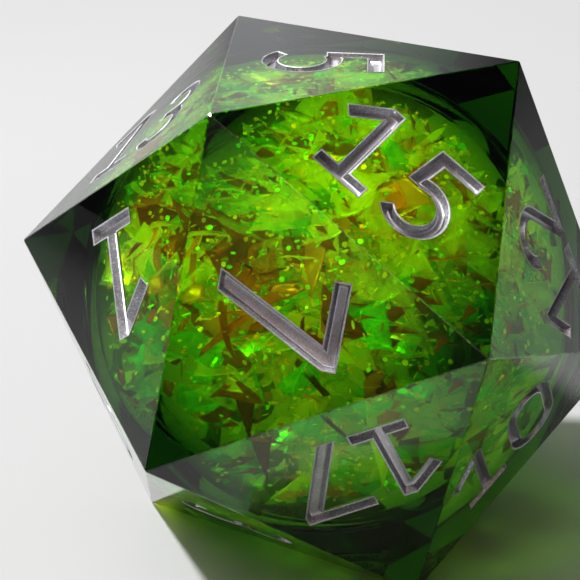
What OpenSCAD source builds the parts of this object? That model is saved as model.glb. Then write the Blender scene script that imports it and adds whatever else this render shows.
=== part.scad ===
// Twenty-sided die of clear tinted resin with a liquid core.
// The die rests on face 16 with face 5 on top. The origin is the middle of face 16.
// Face 7 looks towards -Y. All sizes are in millimetres.

/* [Die] */
// Distance between two opposite faces
face_to_face = 20; // [18:0.5:26]

/* [Numbers] */
// Height of a one-figure number, as a share of the edge length
single_height = 0.36; // [0.30:0.01:0.38]
// Height of a two-figure number, as a share of the edge length
double_height = 0.31; // [0.25:0.01:0.32]
// Stroke width, as a share of the figure's height
stroke = 0.13; // [0.10:0.005:0.14]
// Depth of the engraved grooves
engrave_depth = 0.35; // [0.20:0.05:0.45]
// Thickness of the metallic paint on the floor of the grooves
paint_t = 0.12; // [0.05:0.01:0.15]

/* [Liquid core] */
// Outer diameter of the core capsule, as a share of the distance between faces
core_share = 0.79; // [0.74:0.01:0.82]
// Wall of the capsule
shell_t = 0.5; // [0.4:0.1:1.0]
// Height of the stepped joint between the two halves of the capsule
step_h = 0.6; // [0.3:0.1:1.0]
// Bore of the filling hole in the capsule
fill_d = 1.4; // [0.8:0.1:2.0]
// Angle of the filling hole above the joint of the halves
fill_angle = 35; // [20:5:60]
// Film of still fluid between the capsule and the swirling fluid
swirl_gap = 0.1; // [0.05:0.05:0.20]

/* [Film and glitter] */
// Spacing of the cells that hold one shard or one cluster of glitter each
cell = 1.75; // [1.6:0.05:2.0]
// Thickness of the film shards
film_t = 0.05; // [0.04:0.01:0.10]
// Corner-to-corner size of the glitter flakes
glitter_d = 0.22; // [0.15:0.01:0.30]
// Thickness of the glitter flakes
glitter_t = 0.05; // [0.04:0.01:0.08]
// Seed that scatters the shards and the glitter
scatter_seed = 20; // [1:1:999]

/* [Hidden] */
COLOURS = ["green", "yellow", "orange", "brown", "silver"];
SPARKS = ["gold", "green", "orange"];
FILM_TINTS = [
    [0.35, 0.80, 0.05],
    [0.75, 0.85, 0.05],
    [0.90, 0.45, 0.05],
    [0.40, 0.16, 0.05],
    [0.60, 0.65, 0.55]
];
SPARK_TINTS = [[0.95, 0.95, 0.15], [0.40, 0.95, 0.10], [0.98, 0.60, 0.10]];

golden = (1 + sqrt(5)) / 2;
edge = face_to_face * sqrt(3) / pow(golden, 2);
cap_r = edge / sqrt(3);
belt_r = edge * golden / sqrt(3);
belt_z = edge / sqrt(3);
centre = [0, 0, face_to_face / 2];

core_r = face_to_face * core_share / 2;
shell_in = core_r - shell_t;
step_r = core_r - shell_t / 2;
fluid_r = shell_in - swirl_gap;

// A shard stays this far from the half-way point to the next one
shard_clear = 0.09;
shard_r = cell * sqrt(2) / 2 - shard_clear;
// Distance of each flake from the middle of its cell
spark_offset = 0.3;
// Free fluid left between the outermost shards and the wall
wall_clear = 0.05;
round_fn = 96;
overcut = 1;

// Corners: three on top, three on each belt, three at the bottom
function ring(r, z, start) = [for (i = [0:2]) [r * cos(start + 120 * i), r * sin(start + 120 * i), z]];
CORNERS = concat(
    ring(cap_r, face_to_face, -120),
    ring(belt_r, face_to_face - belt_z, -60),
    ring(belt_r, belt_z, -120),
    ring(cap_r, 0, -60)
);

// Faces 1 to 20, each as three corners; a number stands upright towards its first corner
FACES = [
    [6, 0, 5], [7, 1, 4], [9, 6, 11], [2, 4, 8], [1, 0, 2],
    [11, 10, 8], [3, 0, 6], [9, 7, 10], [8, 5, 11], [3, 9, 7],
    [8, 2, 5], [3, 7, 1], [2, 5, 0], [8, 4, 10], [1, 3, 0],
    [11, 9, 10], [9, 3, 6], [2, 1, 4], [5, 11, 6], [4, 7, 10]
];

function unit(v) = v / norm(v);
function face_middle(n) =
    let (f = FACES[n - 1])
        (CORNERS[f[0]] + CORNERS[f[1]] + CORNERS[f[2]]) / 3;

// Places its children on face n: X to the right, Y towards the number's top, Z outwards
module on_face(n) {
    m = face_middle(n);
    z = unit(m - centre);
    y = unit(CORNERS[FACES[n - 1][0]] - m);
    x = cross(y, z);
    multmatrix([
        [x[0], y[0], z[0], m[0]],
        [x[1], y[1], z[1], m[1]],
        [x[2], y[2], z[2], m[2]],
        [0, 0, 0, 1]
    ])
        children();
}

// ---- Figures: one unit high, standing on y = 0, with x = 0 at their left side ----

// Part of a ring from angle a to angle b, counter-clockwise
module arc(c, r, a, b) {
    reach = 2 * r;
    steps = ceil((b - a) / 60);
    translate(c)
        intersection() {
            difference() {
                circle(r = r, $fn = round_fn);
                circle(r = r - stroke, $fn = round_fn);
            }
            polygon(concat([[0, 0]], [
                for (i = [0:steps])
                    let (t = a + (b - a) * i / steps) [reach * cos(t), reach * sin(t)]
            ]));
        }
}

module ring_stroke(c, r) {
    translate(c)
        difference() {
            circle(r = r, $fn = round_fn);
            circle(r = r - stroke, $fn = round_fn);
        }
}

// Slanted band between heights y0 and y1 whose left edge runs from x0 to x1
module slant(x0, y0, x1, y1, width) {
    polygon([[x0, y0], [x0 + width, y0], [x1 + width, y1], [x1, y1]]);
}

// Width and left-hand kerning of each figure
WIDTHS = [0.62, 0.67, 0.62, 0.60, 0.70, 0.61, 0.64, 0.68, 0.62, 0.64];
KERNS = [0.40, 0.40, 0.40, 0.40, 0.36, 0.40, 0.40, 0.32, 0.40, 0.40];

// Middle of the stem of a 1, from its left side
stem_x = 0.40;
// Length of the foot of a 2 that the next figure may stand over
foot_overlap = 0.24;
// Middle of a two-figure number that starts with 1 or with 2, and height of its middle
pair_middle = [0.835, 0.70];
pair_lift = 0.55;
// Margin of the line under a 6 or a 9 at each end
underline_margin = 0.04;

module underline(width) {
    translate([underline_margin, -2 * stroke]) square([width - 2 * underline_margin, stroke]);
}

module figure_0() {
    r = WIDTHS[0] / 2;
    difference() {
        union() {
            translate([r, r]) circle(r = r, $fn = round_fn);
            translate([r, 1 - r]) circle(r = r, $fn = round_fn);
            translate([0, r]) square([2 * r, 1 - 2 * r]);
        }
        translate([r, r]) circle(r = r - stroke, $fn = round_fn);
        translate([r, 1 - r]) circle(r = r - stroke, $fn = round_fn);
        translate([stroke, r]) square([2 * (r - stroke), 1 - 2 * r]);
    }
}

module figure_1() {
    foot = 0.27;
    flag_drop = 0.30;
    flag_reach = 0.335;
    translate([stem_x - stroke / 2, 0]) square([stroke, 1]);
    translate([stem_x - foot, 0]) square([2 * foot, stroke]);
    // The flag leaves the top left corner of the stem and ends square
    fall = atan2(flag_drop, flag_reach);
    translate([stem_x - stroke / 2, 1])
        rotate(180 + fall)
            square([norm([flag_drop, flag_reach]), stroke]);
    polygon([
        [stem_x - stroke / 2, 1],
        [stem_x + stroke / 2, 1],
        [stem_x, 1 - 2 * stroke],
        [stem_x - stroke / 2, 1 - stroke / cos(fall)]
    ]);
}

module figure_2() {
    r = 0.30;
    bend = -38;
    cx = WIDTHS[2] / 2;
    arc([cx, 1 - r], r, bend, 168);
    square([WIDTHS[2], stroke]);
    x_out = cx + r * cos(bend);
    y_out = 1 - r + r * sin(bend);
    x_in = cx + (r - stroke) * cos(bend);
    y_in = 1 - r + (r - stroke) * sin(bend);
    polygon([[0, stroke], [0.19, stroke], [x_out, y_out], [x_in, y_in]]);
}

module figure_3() {
    // The two bowls share one stroke at the waist
    upper = 0.265;
    lower = (1 + stroke) / 2 - upper;
    cx = WIDTHS[3] - lower;
    arc([cx, 1 - upper], upper, -90, 158);
    arc([cx, lower], lower, -156, 90);
    translate([cx - 0.12, 1 - 2 * upper]) square([0.12, stroke]);
}

module figure_4() {
    post_x = 0.42;
    bar_y = 0.22;
    cap_reach = 0.03;
    translate([post_x, 0]) square([stroke, 1]);
    translate([0, bar_y]) square([WIDTHS[4], stroke]);
    slant(0, bar_y + stroke, post_x - cap_reach, 1, stroke * 1.2);
    translate([post_x - cap_reach, 1 - stroke]) square([0.10, stroke]);
}

module figure_5() {
    r = 0.33;
    cx = WIDTHS[5] - r;
    arc([cx, r], r, -140, 118);
    slant(0.055, 0.53, 0.115, 1, stroke);
    translate([0.115, 1 - stroke]) square([WIDTHS[5] - 0.115, stroke]);
    polygon([[0.055, 0.53], [0.20, 0.53], [0.20, 0.65], [0.07, 0.65]]);
}

module figure_6() {
    r = WIDTHS[6] / 2;
    lean = 58;
    ring_stroke([r, r], r);
    // The tail leaves the ring along its tangent and is cut level at the top
    intersection() {
        translate([r, r])
            rotate(lean)
                translate([0, r - stroke])
                    square([1.2, stroke]);
        square([WIDTHS[6] + 0.2, 1]);
    }
}

module figure_7() {
    w = WIDTHS[7];
    polygon([
        [0, 1], [w, 1], [w, 0.885], [0.235, 0],
        [0.07, 0], [0.50, 1 - stroke], [0, 1 - stroke]
    ]);
}

module figure_8() {
    upper = 0.265;
    lower = (1 + stroke) / 2 - upper;
    ring_stroke([WIDTHS[8] / 2, 1 - upper], upper);
    ring_stroke([WIDTHS[8] / 2, lower], lower);
}

module figure(d) {
    if (d == 0) figure_0();
    if (d == 1) figure_1();
    if (d == 2) figure_2();
    if (d == 3) figure_3();
    if (d == 4) figure_4();
    if (d == 5) figure_5();
    if (d == 6) figure_6();
    if (d == 7) figure_7();
    if (d == 8) figure_8();
    if (d == 9) translate([WIDTHS[9], 1]) rotate(180) figure_6();
}

// A whole number at its real size, centred on its face; 6 and 9 are underlined
module number_outline(n) {
    tens = floor(n / 10);
    ones = n % 10;
    if (n < 10) {
        h = single_height * edge;
        scale(h)
            translate([-WIDTHS[n] / 2, -0.5]) {
                figure(n);
                if (n == 6 || n == 9) underline(WIDTHS[n]);
            }
    } else {
        h = double_height * edge;
        // The ones are spaced from the stem of a 1, or from the foot of a 2
        kern_from = (tens == 1) ? stem_x : WIDTHS[2] - foot_overlap;
        scale(h)
            translate([-pair_middle[tens - 1], -pair_lift]) {
                figure(tens);
                translate([kern_from + KERNS[ones], 0]) figure(ones);
            }
    }
}

// Height of each number's outline above the face, from the groove floor up
module number_block(n, floor_z, height) {
    on_face(n)
        translate([0, 0, floor_z])
            linear_extrude(height)
                number_outline(n);
}

// ---- Body ----

// A face with its corners in clockwise order, seen from outside
function clockwise(f) =
    let (a = CORNERS[f[0]], b = CORNERS[f[1]], c = CORNERS[f[2]])
        (cross(b - a, c - a) * (a - centre) < 0) ? f : [f[0], f[2], f[1]];

module icosahedron() {
    polyhedron(points = CORNERS, faces = [for (f = FACES) clockwise(f)]);
}

module resin_body() {
    color([0.10, 0.55, 0.05, 0.6])
        difference() {
            icosahedron();
            translate(centre) sphere(r = core_r, $fn = round_fn);
            for (n = [1:20]) number_block(n, -engrave_depth, engrave_depth + overcut);
        }
}

module number_paint(n) {
    color([0.55, 0.55, 0.57]) number_block(n, -engrave_depth, paint_t);
}

// ---- Liquid core ----

module ball_shell(outer, inner) {
    difference() {
        sphere(r = outer, $fn = round_fn);
        sphere(r = inner, $fn = round_fn);
    }
}

// Slab between two heights measured from the joint of the capsule's halves
module slab(z0, z1) {
    side = 3 * core_r;
    translate([-side / 2, -side / 2, z0]) cube([side, side, z1 - z0]);
}

// Inner half of the wall, which the lower shell keeps above the joint
module joint_step() {
    intersection() {
        ball_shell(step_r, shell_in);
        slab(0, step_h);
    }
}

module fill_bore() {
    rotate([-(90 - fill_angle), 0, 0]) cylinder(h = 2 * core_r, d = fill_d, $fn = round_fn);
}

module core_shell_lower() {
    color([0.80, 0.95, 0.80, 0.4])
        translate(centre) {
            intersection() {
                ball_shell(core_r, shell_in);
                slab(-2 * core_r, 0);
            }
            joint_step();
        }
}

module core_shell_upper() {
    color([0.80, 0.95, 0.80, 0.4])
        translate(centre)
            difference() {
                intersection() {
                    ball_shell(core_r, shell_in);
                    slab(0, 2 * core_r);
                }
                joint_step();
                fill_bore();
            }
}

module fill_plug() {
    color([0.90, 0.95, 0.90, 0.5])
        translate(centre)
            intersection() {
                ball_shell(core_r, shell_in);
                fill_bore();
            }
}

// Cells of a checkerboard in space: even ones hold a shard, odd ones a cluster of glitter
reach_cells = ceil(fluid_r / cell);
function is_even(c) = (abs(c[0] + c[1] + c[2]) % 2) == 0;
CELLS = [
    for (i = [-reach_cells:reach_cells], j = [-reach_cells:reach_cells], k = [-reach_cells:reach_cells])
        [i, j, k]
];
SHARD_CELLS = [for (c = CELLS) if (is_even(c) && norm(c) * cell < fluid_r - shard_r - wall_clear) c];
SPARK_CELLS = [for (c = CELLS) if (!is_even(c) && norm(c) * cell < fluid_r - spark_offset - glitter_d) c];
shard_dice = rands(0, 1, 7 * len(SHARD_CELLS), scatter_seed);
spark_dice = rands(0, 1, 5 * len(SPARK_CELLS), scatter_seed + 1);

// One shard of film: an irregular sheet with three to five corners inside a circle of shard_r.
// The colours take turns from cell to cell.
module shard(k) {
    corners = 3 + floor(3 * shard_dice[7 * k + 3]);
    r = shard_r * (0.75 + 0.22 * shard_dice[7 * k + 4]);
    squeeze = 0.35 + 0.6 * shard_dice[7 * k + 5];
    rotate([360 * shard_dice[7 * k], 180 * shard_dice[7 * k + 1], 360 * shard_dice[7 * k + 2]])
        linear_extrude(film_t, center = true)
            polygon([
                for (i = [0:corners - 1])
                    let (t = 360 * (i + 0.5 * shard_dice[7 * k + 6]) / corners)
                        [r * cos(t), r * squeeze * sin(t)]
            ]);
}

module shards(group) {
    for (k = [0:len(SHARD_CELLS) - 1])
        if (k % len(COLOURS) == group)
            translate(centre + cell * SHARD_CELLS[k]) shard(k);
}

// Two hexagonal glitter flakes on either side of the middle of a cell
module spark_pair(k) {
    rotate([360 * spark_dice[5 * k], 180 * spark_dice[5 * k + 1], 360 * spark_dice[5 * k + 2]])
        for (side = [-1, 1])
            translate([side * spark_offset, 0, 0])
                rotate([0, 180 * spark_dice[5 * k + 3 + (side + 1) / 2], 0])
                    linear_extrude(glitter_t, center = true)
                        circle(d = glitter_d, $fn = 6);
}

module sparks(group) {
    for (k = [0:len(SPARK_CELLS) - 1])
        if (k % len(SPARKS) == group)
            translate(centre + cell * SPARK_CELLS[k]) spark_pair(k);
}

module film_shards(group) {
    color(FILM_TINTS[group]) shards(group);
}

module glitter(group) {
    color(SPARK_TINTS[group]) sparks(group);
}

// The fluid fills everything inside the capsule that the film and the glitter leave free
module core_fluid() {
    color([0.45, 0.85, 0.10, 0.3])
        difference() {
            translate(centre) sphere(r = fluid_r, $fn = round_fn);
            for (g = [0:len(COLOURS) - 1]) shards(g);
            for (g = [0:len(SPARKS) - 1]) sparks(g);
        }
}

resin_body();
core_shell_lower();
core_shell_upper();
fill_plug();
core_fluid();
for (g = [0:len(COLOURS) - 1])
    film_shards(g);
for (g = [0:len(SPARKS) - 1])
    glitter(g);
for (n = [1:20])
    number_paint(n);
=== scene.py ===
import math
import random

import bmesh
import bpy
from mathutils import Matrix, Quaternion, Vector
from mathutils.geometry import tessellate_polygon


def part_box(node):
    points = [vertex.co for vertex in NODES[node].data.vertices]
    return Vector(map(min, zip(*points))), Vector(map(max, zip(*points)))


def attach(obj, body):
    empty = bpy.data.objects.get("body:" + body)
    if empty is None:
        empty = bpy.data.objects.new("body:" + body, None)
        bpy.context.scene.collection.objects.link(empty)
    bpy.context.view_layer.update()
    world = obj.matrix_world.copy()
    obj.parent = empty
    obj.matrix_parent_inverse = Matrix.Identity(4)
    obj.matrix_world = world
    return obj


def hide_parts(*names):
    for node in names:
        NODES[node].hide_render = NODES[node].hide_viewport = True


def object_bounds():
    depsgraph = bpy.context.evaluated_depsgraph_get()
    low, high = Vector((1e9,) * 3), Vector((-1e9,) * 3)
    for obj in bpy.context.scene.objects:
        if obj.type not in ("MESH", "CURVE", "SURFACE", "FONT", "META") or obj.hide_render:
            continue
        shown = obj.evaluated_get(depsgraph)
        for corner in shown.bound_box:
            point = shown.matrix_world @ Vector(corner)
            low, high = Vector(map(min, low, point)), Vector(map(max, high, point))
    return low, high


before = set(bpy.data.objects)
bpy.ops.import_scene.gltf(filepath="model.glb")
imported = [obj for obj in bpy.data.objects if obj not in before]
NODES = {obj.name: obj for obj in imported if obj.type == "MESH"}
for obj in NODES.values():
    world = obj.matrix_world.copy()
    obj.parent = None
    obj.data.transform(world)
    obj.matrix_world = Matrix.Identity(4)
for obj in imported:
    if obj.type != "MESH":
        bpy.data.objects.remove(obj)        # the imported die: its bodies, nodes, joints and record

CAD_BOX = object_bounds()
MM = 0.001

# ---- Sizes, in metres ----

LOW, HIGH = (Vector(corner) for corner in CAD_BOX)
CENTRE = (LOW + HIGH) / 2

# Resin body and its grooves
EDGE_CHAMFER = 0.035 * MM      # polished-off width on each side of an edge
RESIN_SHARP = math.radians(20)         # bends beyond this angle stay sharp
WALL_RUN = 0.30                # how far a groove's wall leans in, as a share of its depth
SAME_POINT = 0.012 * MM        # outline points closer than this are one point
STRAIGHT = 0.004               # sine of the bend below which an outline point is dropped
LID_LEVEL = 0.01 * MM          # how far a plate's top points may lie from its top

# Paint
PAINT_SKIN = 0.02 * MM         # half the thickness of the paint that lines a groove
RIM_DROP = 0.004 * MM          # the paint ends just below the face
PAINT_SHARP = math.radians(40)
LIP_HIGHLIGHT_COVER, WALL_SHADE_COVER, POOL_COVER = 0.8, 0.4, 0.9   # how well the paint covers; the lip's high cover is a painted highlight and the wall's low cover is painted shade

# Capsule and fluid
CAVITY_GAP = 0.02 * MM         # clearance between the resin's cavity and the capsule
FLUID_INSET = 0.02 * MM        # clearance between the fluid and its CAD radius
FLUID_WAVE = 0.01 * MM         # height of the waves on the fluid's skin
SLIMMING = 0.9985              # scale of the clear pieces that fit into a neighbour
SEAM_DROP = 0.01 * MM          # clearance between the halves of the capsule
CAPSULE_SHARP = math.radians(30)

# Film sheets
SEED = 20
FILM_THICK = 0.03 * MM
FILM_MARGIN = 0.08 * MM        # the sheets stay this far inside the fluid
SMALL_SHEET = (0.30 * MM, 0.90 * MM)   # reach of the film sheets from their middle
BIG_SHEET = (1.00 * MM, 2.20 * MM)
BIG_SHARE = 0.55               # share of the sheets that are big
LAYERING = 0.4                 # share of the green sheets put in the lower half and of the others put in the upper half
KEEP_IN = 0.6                  # a sheet's middle stays this share of its reach inside
SQUEEZE = (0.25, 0.9)          # width of a sheet as a share of its length
SHEET_CORNERS = (3, 3, 4, 5)
TORN_TURN = 0.28               # how far a corner may turn from its even place, in corners
TORN_REACH = (0.6, 1.0)        # how far a corner lies out, as a share of the reach
BEND = (-0.3, 0.3)             # lift at the rim, as a share of the reach
CREASES = (0, 0, 0.2, -0.3)    # slope on both sides of a fold
BIG_ROWS, SMALL_ROWS = 4, 2    # rows of triangles from the middle of a sheet to its rim

# Glitter flakes
FLAKE_THICK = 0.03 * MM
FLAKE_RADIUS = (0.06 * MM, 0.13 * MM)
FLAKE_SIDES = 10
FLAKE_MARGIN = 0.3 * MM        # the flakes stay this far inside the fluid
RISING = 0.5                   # share of the flakes that rise to the upper half
ROUND_SHARE = 0.8              # the other flakes are long
LONG_STRETCH = (2.0, 4.0)      # how much longer than wide they are
LONG_INWARDS = 0.94            # and they lie this much nearer to the middle


def half_width(node):
    low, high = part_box(node)
    return (high[0] - low[0]) / 2


CAPSULE_RADIUS = half_width("core_shell_lower")
FLUID_RADIUS = half_width("core_fluid")


# ---- The icosahedron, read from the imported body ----

def far_corners(mesh):
    """The twelve corners: the points of the mesh furthest from its centre."""
    reach = max((v.co - CENTRE).length for v in mesh.vertices)
    found = []
    for v in mesh.vertices:
        is_far = (v.co - CENTRE).length > 0.999 * reach
        if is_far and all((v.co - c).length > 0.1 * reach for c in found):
            found.append(v.co.copy())
    return found


CORNERS = far_corners(NODES["resin_body"].data)
EDGE = min((CORNERS[0] - c).length for c in CORNERS[1:])


class Face:
    """One triangle of the die, with a flat frame: x and y in its plane, z outwards."""

    def __init__(self, corner_ids):
        a, b, c = (CORNERS[i] for i in corner_ids)
        self.middle = (a + b + c) / 3
        self.z = (self.middle - CENTRE).normalized()
        if (b - a).cross(c - a).dot(self.z) < 0:
            corner_ids = (corner_ids[0], corner_ids[2], corner_ids[1])
        self.corner_ids = corner_ids
        self.y = (CORNERS[corner_ids[0]] - self.middle).normalized()
        self.x = self.y.cross(self.z)

    def flat(self, point):
        away = point - self.middle
        return Vector((away.dot(self.x), away.dot(self.y)))

    def height(self, point):
        return (point - self.middle).dot(self.z)

    def space(self, point, height):
        return self.middle + self.x * point.x + self.y * point.y + self.z * height

    def inset_corner(self, corner_id, width):
        """A corner of the triangle moved inwards so that both its sides move in by width."""
        corner = CORNERS[corner_id]
        return corner + (self.middle - corner).normalized() * 2 * width


def all_faces():
    ids = range(len(CORNERS))

    def near(i, j):
        return (CORNERS[i] - CORNERS[j]).length < 1.01 * EDGE

    return [
        Face((i, j, k))
        for i in ids for j in ids if j > i and near(i, j)
        for k in ids if k > j and near(i, k) and near(j, k)
    ]


FACES = all_faces()


# ---- Groove outlines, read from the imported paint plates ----

def node_middle(name):
    low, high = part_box(name)
    return (Vector(low) + Vector(high)) / 2


def face_of(name):
    """The face that a number's node lies in."""
    towards = node_middle(name) - CENTRE
    return max(FACES, key=lambda face: face.z.dot(towards))


def tidy_loop(points):
    """Drops points that sit on top of each other or on a straight line."""
    kept = []
    for p in points:
        if not kept or (p - kept[-1]).length > SAME_POINT:
            kept.append(p)
    if (kept[0] - kept[-1]).length < SAME_POINT:
        kept.pop()
    count = len(kept)
    result = []
    for i, p in enumerate(kept):
        before = (p - kept[i - 1]).normalized()
        after = (kept[(i + 1) % count] - p).normalized()
        if abs(before.x * after.y - before.y * after.x) > STRAIGHT or before.dot(after) < 0:
            result.append(p)
    return result


def plate_loops(name, face):
    """Outline of a number's paint plate, with the paint on its left, and the groove's depth."""
    bm = bmesh.new()
    bm.from_mesh(NODES[name].data)
    bmesh.ops.remove_doubles(bm, verts=bm.verts, dist=1e-7)
    top = max(face.height(v.co) for v in bm.verts)
    floor = min(face.height(v.co) for v in bm.verts)
    lid = [f for f in bm.faces if all(abs(face.height(v.co) - top) < LID_LEVEL for v in f.verts)]
    follow = {}
    for f in lid:
        flip = f.normal.dot(face.z) < 0
        for corner in f.loops:
            if any(g in lid and g is not f for g in corner.edge.link_faces):
                continue
            start, end = corner.vert, corner.link_loop_next.vert
            if flip:
                start, end = end, start
            follow[start] = end
    loops = []
    while follow:
        start, here = follow.popitem()
        loop = [face.flat(start.co)]
        while here is not start:
            loop.append(face.flat(here.co))
            here = follow.pop(here)
        loops.append(tidy_loop(loop))
    bm.free()
    return loops, -floor


def inset(loop, distance):
    """Moves a loop towards its left by distance, with mitred corners."""
    count = len(loop)
    moved = []
    for i, p in enumerate(loop):
        before = (p - loop[i - 1]).normalized()
        after = (loop[(i + 1) % count] - p).normalized()
        left_a = Vector((-before.y, before.x))
        left_b = Vector((-after.y, after.x))
        moved.append(p + (left_a + left_b) * (distance / max(0.25, 1 + left_a.dot(left_b))))
    return moved


def signed_area(loop):
    return sum(a.x * b.y - a.y * b.x for a, b in zip(loop, loop[1:] + loop[:1])) / 2


def inside(point, loop):
    hit = False
    for a, b in zip(loop, loop[1:] + loop[:1]):
        if (a.y > point.y) != (b.y > point.y):
            if point.x < a.x + (b.x - a.x) * (point.y - a.y) / (b.y - a.y):
                hit = not hit
    return hit


class Groove:
    """One engraved number: the loops at its mouth and the rings down its walls."""

    def __init__(self, number):
        self.name = f"number_{number}_paint"
        self.face = face_of(self.name)
        self.loops, self.depth = plate_loops(self.name, self.face)

    def wall(self, skin):
        """(inset, height) down the lip, the straight wall and the rounded foot.

        The surface is moved by skin off the resin.
        """
        run = WALL_RUN * self.depth
        return [
            (skin, -RIM_DROP),
            (run * 0.22 + skin, -0.08 * self.depth + skin * 0.5),
            (run * 0.90 + skin, -0.80 * self.depth + skin * 0.5),
            (run * 1.15 + skin, -0.94 * self.depth + skin),
            (run * 1.65 + skin, -self.depth + skin),
        ]

    def groups(self):
        """The numbers of the loops: each outer loop with the holes inside it."""
        outers = [k for k, loop in enumerate(self.loops) if signed_area(loop) > 0]
        holes = [k for k in range(len(self.loops)) if k not in outers]
        return [[k] + [h for h in holes if inside(self.loops[h][0], self.loops[k])] for k in outers]


GROOVES = [Groove(number) for number in range(1, 21)]


# ---- Mesh helpers ----

def add_points(bm, points):
    return [bm.verts.new(p) for p in points]


def add_strip(bm, ring_a, ring_b, smooth=False):
    made = []
    for i in range(len(ring_a)):
        j = (i + 1) % len(ring_a)
        made.append(bm.faces.new((ring_a[i], ring_a[j], ring_b[j], ring_b[i])))
        made[-1].smooth = smooth
    return made


def add_fill(bm, rings, flats):
    """Fills the area between the first ring and the holes that follow it."""
    corners = [v for ring in rings for v in ring]
    loops = [[Vector((p.x, p.y, 0)) for p in flat] for flat in flats]
    return [bm.faces.new([corners[i] for i in triangle]) for triangle in tessellate_polygon(loops)]


def new_object(name, bm, material):
    mesh = bpy.data.meshes.new(name)
    bm.to_mesh(mesh)
    bm.free()
    obj = bpy.data.objects.new(name, mesh)
    obj.data.materials.append(material)
    bpy.context.scene.collection.objects.link(obj)
    return obj


def place(obj, body, slot, *nodes):
    """The piece rides on a body and stands for the nodes, which it hides. The slot is not used."""
    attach(obj, body)
    if nodes:
        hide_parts(*nodes)


# ---- Material helpers ----

class Nodes:
    """Short names for adding and linking the nodes of one tree."""

    def __init__(self, owner):
        owner.use_nodes = True
        self.tree = owner.node_tree
        self.tree.nodes.clear()

    def add(self, kind, values=None, **settings):
        node = self.tree.nodes.new(kind)
        for key, value in settings.items():
            setattr(node, key, value)
        for key, value in (values or {}).items():
            self.put(node.inputs[key], value)
        return node

    def put(self, socket, value):
        if isinstance(value, bpy.types.NodeSocket):
            self.tree.links.new(value, socket)
        else:
            socket.default_value = value

    def position(self):
        return self.add("ShaderNodeTexCoord").outputs["Object"]

    def noise(self, scale, detail=3.0, rough=0.5):
        values = {"Scale": scale, "Detail": detail, "Roughness": rough, "Vector": self.position()}
        return self.add("ShaderNodeTexNoise", values).outputs["Fac"]

    def ranged(self, value, low, high, start=0.0, end=1.0):
        values = {"Value": value, "From Min": start, "From Max": end, "To Min": low, "To Max": high}
        return self.add("ShaderNodeMapRange", values).outputs["Result"]

    def ramp(self, value, stops):
        node = self.add("ShaderNodeValToRGB", {"Fac": value})
        ramp = node.color_ramp
        while len(ramp.elements) < len(stops):
            ramp.elements.new(0.5)
        for element, (position, colour) in zip(ramp.elements, stops):
            element.position = position
            element.color = (*colour, 1)
        return node.outputs["Color"]

    def bump(self, height, strength, distance, flat=False):
        """A bumped normal; flat starts from the true surface instead of the smoothed one."""
        values = {"Height": height, "Strength": strength, "Distance": distance}
        if flat:
            values["Normal"] = self.add("ShaderNodeNewGeometry").outputs["True Normal"]
        return self.add("ShaderNodeBump", values).outputs["Normal"]

    def length(self, vector):
        return self.add("ShaderNodeVectorMath", {0: vector}, operation="LENGTH").outputs["Value"]

    def attribute(self, name):
        return self.add("ShaderNodeAttribute", attribute_name=name).outputs["Fac"]

    def average(self, first, second):
        total = self.add("ShaderNodeMath", {0: first, 1: second}, operation="ADD").outputs[0]
        return self.add("ShaderNodeMath", {0: total, 1: 0.5}, operation="MULTIPLY").outputs[0]

    def blend(self, share, first, second):
        """Mixes two colours; sockets 6, 7 and 2 are the node's colour sockets."""
        node = self.add("ShaderNodeMix", {0: share, 6: first, 7: second}, data_type="RGBA")
        return node.outputs[2]

    def mix(self, fac, first, second):
        node = self.add("ShaderNodeMixShader", {0: fac, 1: first, 2: second})
        return node.outputs["Shader"]

    def finish(self, surface, volume=None, kind="ShaderNodeOutputMaterial"):
        out = self.add(kind, {"Surface": surface})
        if volume:
            self.put(out.inputs["Volume"], volume)


def material(name):
    mat = bpy.data.materials.new(name)
    return mat, Nodes(mat)


def rgba(r, g, b):
    return (r, g, b, 1)


def absorbing(nodes, per_metre):
    """Volume that swallows red, green and blue light at the given rates per metre."""
    density = 1.05 * max(per_metre)    # the extra keeps every channel of the colour above 0
    colour = rgba(*(1 - k / density for k in per_metre))
    node = nodes.add("ShaderNodeVolumeAbsorption", {"Color": colour, "Density": density})
    return node.outputs["Volume"]


def for_lamp(nodes, surface, share):
    """Shows the surface to all rays but the lamp's, which pass with the given share."""
    clear = nodes.add("ShaderNodeBsdfTransparent", {"Color": share}).outputs["BSDF"]
    is_shadow = nodes.add("ShaderNodeLightPath").outputs["Is Shadow Ray"]
    return nodes.mix(is_shadow, surface, clear)


def lamp_through(nodes, surface, outside):
    """Lets lamp light straight through a clear surface; outside is what passes on the way in."""
    back = nodes.add("ShaderNodeNewGeometry").outputs["Backfacing"]
    inner = nodes.attribute("cavity")
    open_way = nodes.add("ShaderNodeMath", {0: back, 1: inner}, operation="MAXIMUM").outputs[0]
    return for_lamp(nodes, surface, nodes.ranged(open_way, outside, 1.0))


# ---- Materials ----

RESIN_IOR = 1.5
CAVITY_IOR = 1.03              # resin against the clear capsule and its fluid
FLUID_IOR = 1.01
CAPSULE_IOR = 1.002            # the clear pieces inside the cavity hardly bend light
PLUG_IOR = 1.006
RESIN_SWALLOWS = (425, 240, 2200)      # red, green and blue light that is swallowed, per metre
FLUID_SWALLOWS = (12, 4, 160)
HAZE = 34                      # share of light that the fluid scatters, per metre
RESIN_PASSES = 0.06            # lamp light that gets through the outside of the resin
FILM_PASSES = 0.96             # lamp light that gets past each side of a film sheet
FILM_GLOW = 0.45               # share of a film's solid part that glows with light from behind
FILM_COAT = (280, 520)         # thickness of the iridescent coat, in nanometres


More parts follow.
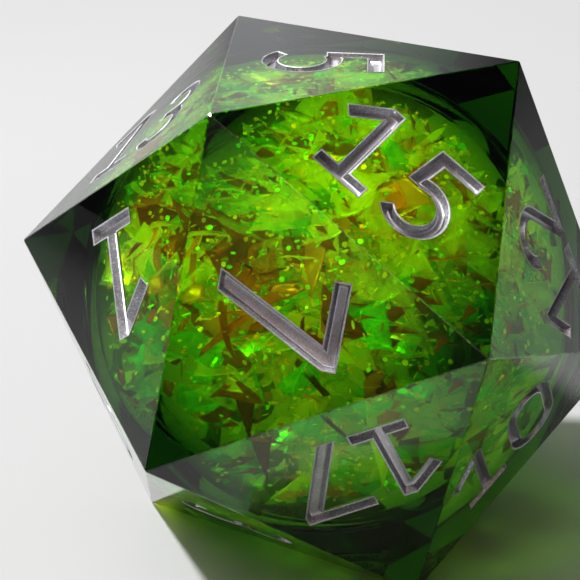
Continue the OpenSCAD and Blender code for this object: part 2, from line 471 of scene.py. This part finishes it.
def resin_material():
    """Polished green casting resin: the cavity's surface bends light less than the outside."""
    mat, n = material("tinted_resin")
    scuffs = n.ramp(n.noise(900, 6, 0.65), [(0.55, (0, 0, 0)), (0.85, (1, 1, 1))])
    tint = n.ramp(n.noise(120, 3), [(0.3, (0.97, 1.0, 0.96)), (0.7, (1.0, 1.0, 0.99))])
    surface = n.add("ShaderNodeBsdfPrincipled", {
        "Base Color": tint,
        "Roughness": n.ranged(scuffs, 0.0, 0.03),
        "IOR": n.ranged(n.attribute("cavity"), RESIN_IOR, CAVITY_IOR),
        "Transmission Weight": 1.0,
        "Normal": n.bump(n.noise(260, 2), 0.04, 0.02 * MM),
    }).outputs["BSDF"]
    n.finish(lamp_through(n, surface, RESIN_PASSES), absorbing(n, RESIN_SWALLOWS))
    return mat


def clear_material(name, ior, warm):
    """Clear plastic of the capsule and its plug, with faint moulding waves."""
    mat, n = material(name)
    tint = n.ramp(n.noise(350, 3), [(0.3, (0.96, 1.0, warm)), (0.7, (1.0, 1.0, 1.0))])
    surface = n.add("ShaderNodeBsdfPrincipled", {
        "Base Color": tint,
        "Roughness": n.ranged(n.noise(700, 4), 0.0, 0.02),
        "IOR": ior,
        "Transmission Weight": 1.0,
        "Normal": n.bump(n.noise(180, 2), 0.05, 0.02 * MM, flat=True),
    }).outputs["BSDF"]
    n.finish(lamp_through(n, surface, 1.0))
    return mat


def fluid_material():
    """Yellow-green fluid with a faint shimmering haze."""
    mat, n = material("core_fluid")
    tint = n.ramp(n.noise(300, 4), [(0.35, (0.93, 1.0, 0.88)), (0.65, (1.0, 1.0, 0.97))])
    surface = n.add("ShaderNodeBsdfPrincipled", {
        "Base Color": tint,
        "Roughness": 0.0,
        "IOR": FLUID_IOR,
        "Transmission Weight": 1.0,
        "Normal": n.bump(n.noise(220, 3), 0.1, 0.02 * MM),
    }).outputs["BSDF"]
    values = {"Color": rgba(1.0, 1.0, 0.3), "Density": HAZE, "Anisotropy": 0.3}
    haze = n.add("ShaderNodeVolumeScatter", values).outputs["Volume"]
    swallow = absorbing(n, FLUID_SWALLOWS)
    both = n.add("ShaderNodeAddShader", {0: haze, 1: swallow}).outputs["Shader"]
    n.finish(lamp_through(n, surface, 1.0), both)
    return mat


def film_material(name, dark, bright, filtered, body):
    """Iridescent film: part of the light passes, filtered; body is the share that doesn't."""
    mat, n = material(name)
    tone = n.attribute("tone")
    crinkle = n.noise(2200, 4, 0.6)
    blotches = n.noise(900, 3, 0.55)
    colour = n.ramp(n.average(tone, blotches), [(0.2, dark), (0.75, bright)])
    surface = n.add("ShaderNodeBsdfPrincipled", {
        "Base Color": colour,
        "Metallic": 0.3,
        "Roughness": n.ranged(crinkle, 0.08, 0.36),
        "Thin Film Thickness": n.ranged(n.noise(500, 2), *FILM_COAT),
        "Thin Film IOR": 1.6,
        "Normal": n.bump(crinkle, 0.45, 0.03 * MM),
    }).outputs["BSDF"]
    glow = n.add("ShaderNodeBsdfTranslucent", {"Color": colour}).outputs["BSDF"]
    solid = n.mix(FILM_GLOW, surface, glow)
    through = n.add("ShaderNodeBsdfTransparent", {"Color": rgba(*filtered)}).outputs["BSDF"]
    cover = n.ranged(n.average(tone, blotches), 0.5 * body, 1.3 * body, 0.2, 0.8)
    onwards = rgba(*(FILM_PASSES * math.sqrt(share) for share in filtered))
    n.finish(for_lamp(n, n.mix(cover, through, solid), onwards))
    return mat


def flake_material(name, dark, bright):
    """Metallised glitter: each flake has its own tone."""
    mat, n = material(name)
    colour = n.ramp(n.attribute("tone"), [(0.0, dark), (1.0, bright)])
    surface = n.add("ShaderNodeBsdfPrincipled", {
        "Base Color": colour,
        "Metallic": 0.2,
        "Roughness": n.ranged(n.noise(3000, 2), 0.3, 0.5),
        "Normal": n.bump(n.noise(6000, 2), 0.2, 0.01 * MM),
    }).outputs["BSDF"]
    n.finish(surface)
    return mat


def paint_material():
    """Silver-grey metallic paint with fine flakes; where the cover is low, a dark ground shows
    through as painted shade.
    """
    mat, n = material("groove_paint")
    grain = n.noise(13000, 3, 0.7)
    pools = n.noise(700, 3, 0.55)
    silver = n.ramp(n.average(grain, pools), [
        (0.30, (0.36, 0.35, 0.37)), (0.52, (0.54, 0.53, 0.56)), (0.75, (0.85, 0.85, 0.87)),
    ])
    # the dark ground is painted shade on the groove walls; its light specks are grain
    painted_shade_ground = n.ramp(grain, [
        (0.35, (0.05, 0.06, 0.06)), (0.55, (0.20, 0.21, 0.22)), (0.70, (0.80, 0.80, 0.80)),
    ])
    colour = n.blend(n.attribute("cover"), painted_shade_ground, silver)
    surface = n.add("ShaderNodeBsdfPrincipled", {
        "Base Color": colour,
        "Metallic": 0.88,
        "Roughness": n.ranged(pools, 0.25, 0.5),
        "Normal": n.bump(n.average(grain, pools), 0.8, 0.02 * MM),
    }).outputs["BSDF"]
    n.finish(surface)
    return mat


# ---- Resin body ----

def resin_shell(bm):
    """The outside: twenty faces with engraved grooves, thin chamfers and blunted corners."""
    tips = {}
    for face in FACES:
        for c in face.corner_ids:
            tips[face, c] = bm.verts.new(face.inset_corner(c, EDGE_CHAMFER))
    grooves = {groove.face: groove for groove in GROOVES}
    for face in FACES:
        groove = grooves[face]
        mouths = [add_points(bm, [face.space(p, 0) for p in loop]) for loop in groove.loops]
        triangle = [tips[face, c] for c in face.corner_ids]
        flat_triangle = [face.flat(v.co) for v in triangle]
        groups = groove.groups()
        outers = [group[0] for group in groups]
        add_fill(bm, [triangle] + [mouths[k] for k in outers],
                 [flat_triangle] + [groove.loops[k] for k in outers])
        for k, mouth in enumerate(mouths):
            if k not in outers:     # the island of face inside a closed figure
                add_fill(bm, [mouth], [groove.loops[k]])
        add_groove(bm, groove, mouths, groups)
    add_chamfers(bm, tips)


def add_groove(bm, groove, mouths, groups):
    """Walls and floor below the given mouth loops."""
    face = groove.face
    last = mouths
    for run, height in groove.wall(0.0)[1:]:
        flats = [inset(loop, run) for loop in groove.loops]
        rings = [add_points(bm, [face.space(p, height) for p in flat]) for flat in flats]
        for ring_a, ring_b in zip(last, rings):
            add_strip(bm, ring_a, ring_b, smooth=True)
        last = rings
    for group in groups:
        add_fill(bm, [last[k] for k in group], [flats[k] for k in group])


def add_chamfers(bm, tips):
    """A thin strip along each edge and a small pentagon on each corner."""
    for i, face_a in enumerate(FACES):
        for face_b in FACES[i + 1:]:
            shared = [c for c in face_a.corner_ids if c in face_b.corner_ids]
            if len(shared) == 2:
                c, d = shared
                bm.faces.new((tips[face_a, c], tips[face_a, d], tips[face_b, d], tips[face_b, c]))
    for c, corner in enumerate(CORNERS):
        around = [face for face in FACES if c in face.corner_ids]
        axis = (corner - CENTRE).normalized()
        side = axis.orthogonal().normalized()
        other = axis.cross(side)

        def turn(face):
            away = face.middle - corner
            return math.atan2(away.dot(other), away.dot(side))

        bm.faces.new([tips[face, c] for face in sorted(around, key=turn)])


def ball(bm, radius, inwards=False):
    """A smooth fine sphere round the die's centre."""
    made = bmesh.ops.create_icosphere(
        bm, subdivisions=6, radius=radius, matrix=Matrix.Translation(CENTRE))
    faces = list({f for v in made["verts"] for f in v.link_faces})
    for f in faces:
        f.smooth = True
    if inwards:
        bmesh.ops.reverse_faces(bm, faces=faces)
    return faces


def resin_body():
    """The outer shell and the cavity in it, which the face attribute "cavity" marks."""
    bm = bmesh.new()
    resin_shell(bm)
    bmesh.ops.recalc_face_normals(bm, faces=bm.faces)
    cavity = bm.faces.layers.float.new("cavity")
    for f in ball(bm, CAPSULE_RADIUS + CAVITY_GAP, inwards=True):
        f[cavity] = 1.0
    for f in bm.faces:
        f.smooth = True
    obj = new_object("resin_body_polished", bm, resin_material())
    obj.data.set_sharp_from_angle(angle=RESIN_SHARP)
    place(obj, "die", "tinted_resin", "resin_body")


# ---- Paint ----

def paint_liners():
    """Paint over each groove: light on the lip as a painted highlight, dark on the wall as painted
    shade, pooled on the floor.
    """
    paint = paint_material()
    for groove in GROOVES:
        bm = bmesh.new()
        cover = bm.faces.layers.float.new("cover")
        face = groove.face
        profile = groove.wall(PAINT_SKIN)[::-1] + groove.wall(-PAINT_SKIN)
        # the cover of each strip between two steps of the profile: a painted highlight on the lip,
        # painted shade on the wall
        shares = [POOL_COVER, WALL_SHADE_COVER, WALL_SHADE_COVER, LIP_HIGHLIGHT_COVER, LIP_HIGHLIGHT_COVER]
        shares += [LIP_HIGHLIGHT_COVER, WALL_SHADE_COVER, WALL_SHADE_COVER, POOL_COVER]
        last = None
        groups = groove.groups()
        for step, (run, height) in enumerate(profile):
            flats = [inset(loop, run) for loop in groove.loops]
            rings = [add_points(bm, [face.space(p, height) for p in flat]) for flat in flats]
            if last:
                for ring_a, ring_b in zip(last, rings):
                    for f in add_strip(bm, ring_a, ring_b, smooth=True):
                        f[cover] = shares[step - 1]
            if step in (0, len(profile) - 1):
                for group in groups:
                    for f in add_fill(bm, [rings[k] for k in group], [flats[k] for k in group]):
                        f[cover] = POOL_COVER
            last = rings
        bmesh.ops.recalc_face_normals(bm, faces=bm.faces)
        obj = new_object(groove.name.replace("_paint", "_lining"), bm, paint)
        obj.data.set_sharp_from_angle(angle=PAINT_SHARP)
        place(obj, "die", "groove_paint", groove.name)


# ---- Core ----

def core_fluid():
    """The swirling fluid: a ball whose skin carries faint convection waves."""
    bm = bmesh.new()
    radius = FLUID_RADIUS - FLUID_INSET
    ball(bm, radius)
    for v in bm.verts:
        p = (v.co - CENTRE) / radius
        wave = math.sin(5 * p.x + 3 * p.z) * math.sin(4 * p.y - 2 * p.x + 1)
        v.co -= p * FLUID_WAVE * (1 + wave)
    obj = new_object("core_fluid_clear", bm, fluid_material())
    place(obj, "core_contents", "core_fluid", "core_fluid")


def random_turn(rng):
    """A turn about an axis in any direction."""
    axis = Vector([rng.gauss(0, 1) for _ in range(3)]).normalized()
    return Quaternion(axis, rng.uniform(0, 2 * math.pi)).to_matrix()


def random_spot(rng, radius):
    """A place anywhere in a ball round the origin."""
    while True:
        spot = Vector([rng.uniform(-1, 1) for _ in range(3)])
        if spot.length < 1:
            return spot * radius


def add_sheet(bm, tone_layer, rng, spot, turn, size, squeeze, corners, bend, crease):
    """One torn sheet of film: an irregular polygon, subdivided, bent and creased."""
    start = rng.uniform(0, 2 * math.pi)
    rim = []
    for i in range(corners):
        angle = start + 2 * math.pi * (i + rng.uniform(-TORN_TURN, TORN_TURN)) / corners
        reach = size * rng.uniform(*TORN_REACH)
        rim.append(Vector((math.cos(angle) * reach, math.sin(angle) * reach * squeeze)))
    fold = rng.uniform(0, math.pi)
    axis = Vector((math.cos(fold), math.sin(fold)))
    tone = rng.random()
    limit = FLUID_RADIUS - FILM_MARGIN
    levels = BIG_ROWS if size > BIG_SHEET[0] else SMALL_ROWS

    def lifted(p):
        across = p.dot(axis)
        lift = bend * across * across / size + crease * abs(across)
        at = spot + turn @ Vector((p.x, p.y, lift))
        if at.length > limit:
            at *= limit / at.length
        return CENTRE + at

    for i in range(corners):
        a, b = rim[i], rim[(i + 1) % corners]
        grid = [
            [bm.verts.new(lifted((a * (row - col) + b * col) / levels)) for col in range(row + 1)]
            for row in range(levels + 1)
        ]
        for row in range(levels):
            for col in range(row + 1):
                lower = grid[row + 1]
                made = [bm.faces.new((grid[row][col], lower[col], lower[col + 1]))]
                if col < row:
                    made.append(bm.faces.new((grid[row][col], lower[col + 1], grid[row][col + 1])))
                for f in made:
                    f.smooth = True
                    f[tone_layer] = tone


def film_pieces():
    """The film sheets, one piece for each tint."""
    kinds = {
        # count, dark tone, bright tone, filter, share of light that doesn't pass
        "green": (190, (0.05, 0.55, 0.03), (0.26, 0.90, 0.10), (0.80, 0.98, 0.60), 0.42),
        "yellow": (280, (1.00, 0.86, 0.05), (1.00, 0.96, 0.20), (1.00, 1.00, 0.80), 0.45),
        "orange": (80, (0.95, 0.35, 0.03), (1.00, 0.60, 0.08), (1.00, 0.60, 0.25), 0.45),
        "brown": (180, (0.30, 0.05, 0.01), (0.80, 0.21, 0.02), (0.65, 0.28, 0.10), 0.72),
        "silver": (90, (0.60, 0.65, 0.55), (0.95, 0.98, 0.90), (0.95, 0.98, 0.90), 0.35),
    }
    pieces = []
    for order, (name, (count, dark, bright, filtered, body)) in enumerate(kinds.items()):
        rng = random.Random(SEED + order)
        bm = bmesh.new()
        tone = bm.faces.layers.float.new("tone")
        for _ in range(count):
            is_big = rng.random() < BIG_SHARE
            size = rng.uniform(*(BIG_SHEET if is_big else SMALL_SHEET))
            spot = random_spot(rng, FLUID_RADIUS - KEEP_IN * size)
            if rng.random() < LAYERING:
                spot.z = abs(spot.z) * (-1 if name == "green" else 1)
            add_sheet(bm, tone, rng, spot, random_turn(rng), size, rng.uniform(*SQUEEZE),
                      rng.choice(SHEET_CORNERS), rng.uniform(*BEND), rng.choice(CREASES))
        bmesh.ops.remove_doubles(bm, verts=bm.verts, dist=1e-8)
        mat = film_material(f"film_{name}", dark, bright, filtered, body)
        obj = new_object(f"film_{name}_sheets", bm, mat)
        solid = obj.modifiers.new("film_thickness", "SOLIDIFY")
        solid.thickness = FILM_THICK
        solid.offset = 0
        place(obj, "core_contents", f"film_{name}", f"film_shards_{name}")
        pieces.append(obj)
    return pieces


def add_flake(bm, tone_layer, rng, spot, turn, radius, stretch):
    """A round or long flake of glitter, as a thin closed prism."""
    tone = rng.random()
    rings = []
    for height in (-FLAKE_THICK / 2, FLAKE_THICK / 2):
        ring = []
        for i in range(FLAKE_SIDES):
            angle = 2 * math.pi * i / FLAKE_SIDES
            flat = Vector((math.cos(angle) * radius * stretch, math.sin(angle) * radius, height))
            ring.append(bm.verts.new(CENTRE + spot + turn @ flat))
        rings.append(ring)
    made = [bm.faces.new(rings[0][::-1]), bm.faces.new(rings[1])]
    made += add_strip(bm, *rings)
    for f in made:
        f[tone_layer] = tone


def glitter_pieces():
    """The glitter flakes, one piece for each tint."""
    kinds = {
        # count, dark tone, bright tone
        "gold": (1000, (1.00, 0.52, 0.04), (1.00, 0.74, 0.28)),
        "green": (500, (0.20, 0.75, 0.10), (0.60, 1.0, 0.35)),
        "orange": (260, (1.00, 0.22, 0.03), (1.00, 0.42, 0.10)),
    }
    pieces = []
    for order, (name, (count, dark, bright)) in enumerate(kinds.items()):
        rng = random.Random(10 * SEED + order)
        bm = bmesh.new()
        tone = bm.faces.layers.float.new("tone")
        for _ in range(count):
            spot = random_spot(rng, FLUID_RADIUS - FLAKE_MARGIN)
            if rng.random() < RISING:
                spot.z = abs(spot.z)
            stretch = 1.0 if rng.random() < ROUND_SHARE else rng.uniform(*LONG_STRETCH)
            radius = rng.uniform(*FLAKE_RADIUS) / math.sqrt(stretch)
            spot *= LONG_INWARDS if stretch > 1 else 1
            add_flake(bm, tone, rng, spot, random_turn(rng), radius, stretch)
        mat = flake_material(f"glitter_{name}", dark, bright)
        obj = new_object(f"glitter_{name}_flakes", bm, mat)
        place(obj, "core_contents", f"glitter_{name}", f"glitter_{name}")
        pieces.append(obj)
    return pieces


# ---- Capsule ----

def slimmed(node, middle, drop, slot, mat):
    """A copy of a CAD piece, a hair smaller and lower, so that it lies clear of its neighbour."""
    bm = bmesh.new()
    bm.from_mesh(NODES[node].data)
    bmesh.ops.remove_doubles(bm, verts=bm.verts, dist=1e-7)
    for v in bm.verts:
        v.co = middle + (v.co - middle) * SLIMMING - Vector((0, 0, drop))
    for f in bm.faces:
        f.smooth = True
    obj = new_object(f"{node}_clear", bm, mat)
    obj.data.set_sharp_from_angle(angle=CAPSULE_SHARP)
    place(obj, "die", slot, node)


def capsule():
    clear = clear_material("clear_capsule", CAPSULE_IOR, 0.97)
    slimmed("core_shell_lower", CENTRE, SEAM_DROP, "clear_capsule", clear)
    upper = NODES["core_shell_upper"]
    upper.data.materials.clear()
    upper.data.materials.append(clear)
    slimmed("fill_plug", node_middle("fill_plug"), 0, "clear_plug",
            clear_material("clear_plug", PLUG_IOR, 0.94))


# ---- Camera, floor and light ----

# Directions are (azimuth, elevation) in degrees, and all but the camera's look
# point from the die's centre.
CAMERA_STAND = (-87.76, 24.08)
CAMERA_DISTANCE = 5.643        # in edge lengths
CAMERA_LOOK = (93.435, -23.914)
CAMERA_ROLL = 0.92             # degrees
LENS = 112.4
NEAR_CLIP = 0.001

FLOOR_HALF = 1.5               # half the side of the floor
FLOOR_DROP = 0.02 * MM         # clearance between the die and the floor
FLOOR_LIT_AND_SHADED_TONES = (0.195, 0.105)   # a painted pool of light in the lane, and painted shade beside it
LANE_SHIFT = Vector((0.025, -0.012, 0))
LANE_SHAPE = Vector((1, 0.15, 0))      # the lane runs on along y
LANE_EDGE = (0.045, 0.12)      # where the lane's tone starts to change, and where it has
BACKDROP = rgba(0.76, 0.76, 0.77)      # what the camera sees beyond the floor
FLOOR_ENDS = (0.05, 0.12)      # where the floor starts to merge with it, and where it has

KEY_FROM, KEY_DISTANCE = (160, 58), 1.5
KEY_SIZE, KEY_POWER = 0.14, 2.25
KEY_POOL = Vector((CENTRE.x, CENTRE.y + 0.06, LOW.z))  # the lamp aims behind the die
FILL_FROM, FILL_DISTANCE = (-96, 8), 1.0
FILL_SIZE, FILL_POWER = 0.2, 0.7
LAMP_SPREAD = math.radians(30)

ROOM_BASE = (0.03, 0.03, 0.032)
ROOM_GLOWS = [
    # direction, angle where the glow fades out, angle where it is full, colour
    ((125, 15), 38, 30, (0.85, 0.86, 0.88)),
    ((180, 70), 38, 22, (2.60, 2.60, 2.65)),
    ((-95, 50), 38, 15, (0.70, 0.50, 0.45)),
]

CLEAR_BOUNCES = 28             # light meets many clear surfaces on its way through the die
FILM_BOUNCES = 40              # and many sheets of film


def direction(azimuth, elevation):
    a, e = math.radians(azimuth), math.radians(elevation)
    return Vector((math.cos(e) * math.cos(a), math.cos(e) * math.sin(a), math.sin(e)))


def add_camera():
    data = bpy.data.cameras.new("camera")
    data.lens = LENS
    data.clip_start = NEAR_CLIP
    camera = bpy.data.objects.new("camera", data)
    camera.location = CENTRE + direction(*CAMERA_STAND) * CAMERA_DISTANCE * EDGE
    level = direction(*CAMERA_LOOK).to_track_quat("-Z", "Y")
    camera.rotation_mode = "QUATERNION"
    camera.rotation_quaternion = level @ Quaternion((0, 0, 1), -math.radians(CAMERA_ROLL))
    bpy.context.scene.collection.objects.link(camera)
    bpy.context.scene.camera = camera


def add_floor():
    """Pale matt board with a painted pool of light: palest in a lane that runs past the die and on
    behind it, with painted shade beside it.
    """
    mat, n = material("floor")
    # the lane is a painted pool of light; the darker floor beside it is painted shade
    light_lane = n.add("ShaderNodeMapping", {
        "Vector": n.position(), "Location": LANE_SHIFT, "Scale": LANE_SHAPE,
    }).outputs["Vector"]
    grain = n.ranged(n.noise(9, 2), 0.0, 0.04)
    fade = n.ranged(n.length(light_lane), 0.0, 1.0, *LANE_EDGE)
    lit_tone, shaded_tone = ((tone, tone, tone) for tone in FLOOR_LIT_AND_SHADED_TONES)
    tone = n.ramp(n.average(grain, fade), [(0.0, lit_tone), (0.5, shaded_tone)])
    surface = n.add("ShaderNodeBsdfPrincipled", {
        "Base Color": tone, "Roughness": 0.55, "Specular IOR Level": 0.3,
    }).outputs["BSDF"]
    beyond = n.ranged(n.length(n.position()), 0.0, 1.0, *FLOOR_ENDS)
    is_camera = n.add("ShaderNodeLightPath").outputs["Is Camera Ray"]
    backdrop = n.add("ShaderNodeEmission", {"Color": BACKDROP}).outputs["Emission"]
    merge = n.add("ShaderNodeMath", {0: is_camera, 1: beyond}, operation="MULTIPLY").outputs[0]
    n.finish(n.mix(merge, surface, backdrop))
    bm = bmesh.new()
    signs = [(-1, -1), (1, -1), (1, 1), (-1, 1)]
    height = LOW.z - FLOOR_DROP
    bm.faces.new(add_points(bm, [(x * FLOOR_HALF, y * FLOOR_HALF, height) for x, y in signs]))
    new_object("floor", bm, mat)


def add_lamp(name, stand, distance, size, power, aim):
    """A round lamp, hidden from the camera and from rays that have passed clear surfaces."""
    data = bpy.data.lights.new(name, "AREA")
    data.shape = "DISK"
    data.size = size
    data.energy = power
    data.spread = LAMP_SPREAD
    lamp = bpy.data.objects.new(name, data)
    lamp.location = CENTRE + direction(*stand) * distance
    lamp.rotation_mode = "QUATERNION"
    lamp.rotation_quaternion = (aim - lamp.location).to_track_quat("-Z", "Y")
    lamp.visible_transmission = False
    lamp.visible_camera = False
    bpy.context.scene.collection.objects.link(lamp)
    return lamp


def add_key_light():
    """The main lamp: back left and high, with its pool of light centred behind the die."""
    add_lamp("key", KEY_FROM, KEY_DISTANCE, KEY_SIZE, KEY_POWER, KEY_POOL)


def add_fill_light(lit):
    """A weak lamp, in front and low, that lights only the given pieces."""
    lamp = add_lamp("fill", FILL_FROM, FILL_DISTANCE, FILL_SIZE, FILL_POWER, CENTRE)
    receivers = bpy.data.collections.new("core_pieces")
    for obj in lit:
        receivers.objects.link(obj)
    lamp.light_linking.receiver_collection = receivers


def add_world():
    """Soft room light: bright behind and left, dim behind the camera, dark at the upper right."""
    world = bpy.data.worlds.new("soft_room")
    bpy.context.scene.world = world
    n = Nodes(world)
    towards = n.add("ShaderNodeTexCoord").outputs["Generated"]
    total = n.add("ShaderNodeCombineXYZ", dict(enumerate(ROOM_BASE))).outputs[0]
    for middle, fades_out, is_full, colour in ROOM_GLOWS:
        values = {0: towards, 1: direction(*middle)}
        near = n.add("ShaderNodeVectorMath", values, operation="DOT_PRODUCT").outputs["Value"]
        start, end = (math.cos(math.radians(angle)) for angle in (fades_out, is_full))
        values = {0: colour, "Scale": n.ranged(near, 0.0, 1.0, start, end)}
        glow = n.add("ShaderNodeVectorMath", values, operation="SCALE").outputs[0]
        total = n.add("ShaderNodeVectorMath", {0: total, 1: glow}, operation="ADD").outputs[0]
    room = n.add("ShaderNodeBackground", {"Color": total, "Strength": 1.0}).outputs[0]
    plain = n.add("ShaderNodeBackground", {"Color": BACKDROP}).outputs[0]
    is_camera = n.add("ShaderNodeLightPath").outputs["Is Camera Ray"]
    n.finish(n.mix(is_camera, room, plain), kind="ShaderNodeOutputWorld")
    world.cycles.sampling_method = "NONE"


def set_up_view():
    """Enough bounces for stacked clear surfaces, and plain colours."""
    scene = bpy.context.scene
    scene.view_settings.view_transform = "Standard"
    cycles = scene.cycles
    cycles.max_bounces = CLEAR_BOUNCES
    cycles.transmission_bounces = CLEAR_BOUNCES
    cycles.transparent_max_bounces = FILM_BOUNCES
    cycles.glossy_bounces = 12
    cycles.diffuse_bounces = 4
    cycles.volume_bounces = 1
    cycles.sample_clamp_indirect = 6
    cycles.use_denoising = True


# ---- Build ----

set_up_view()
add_camera()
add_floor()
add_world()
add_key_light()
resin_body()
paint_liners()
capsule()
core_fluid()
add_fill_light(film_pieces() + glitter_pieces())
